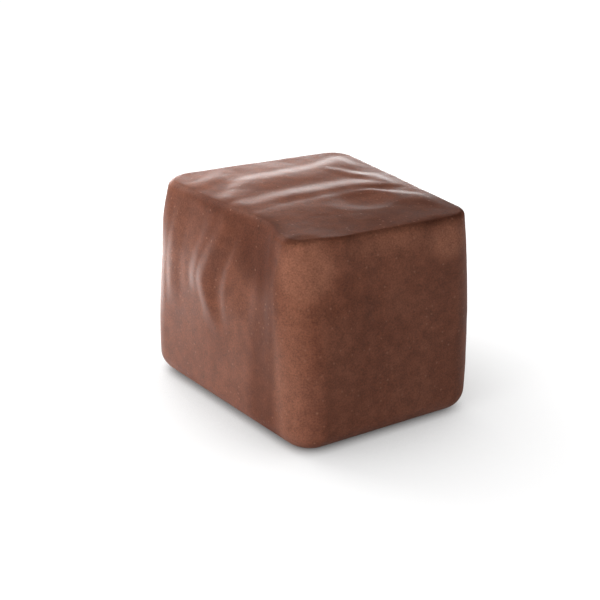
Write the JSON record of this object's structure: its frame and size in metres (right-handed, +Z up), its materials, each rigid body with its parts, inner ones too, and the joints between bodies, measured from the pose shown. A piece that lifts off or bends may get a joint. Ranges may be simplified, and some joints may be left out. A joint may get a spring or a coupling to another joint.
{
  "type": "chocolate-covered marshmallow",
  "caption": "Bite-size block of marshmallow coated all over in milk chocolate, with soft ripples across the top and down one side.",
  "frame": {"origin": "middle of the flat base, under the middle of the block's box", "axes": "+Z up; -Y is the plain front side, -X the rippled side to its left; the ripples cross the top along X"},
  "size_m": [0.0284, 0.0336, 0.0259],
  "materials": {
    "milk_chocolate": "satin milk chocolate with fine grain"
  },
  "bodies": {
    "root": {"chocolate_marshmallow": "milk_chocolate"}
  },
  "joints": []
}
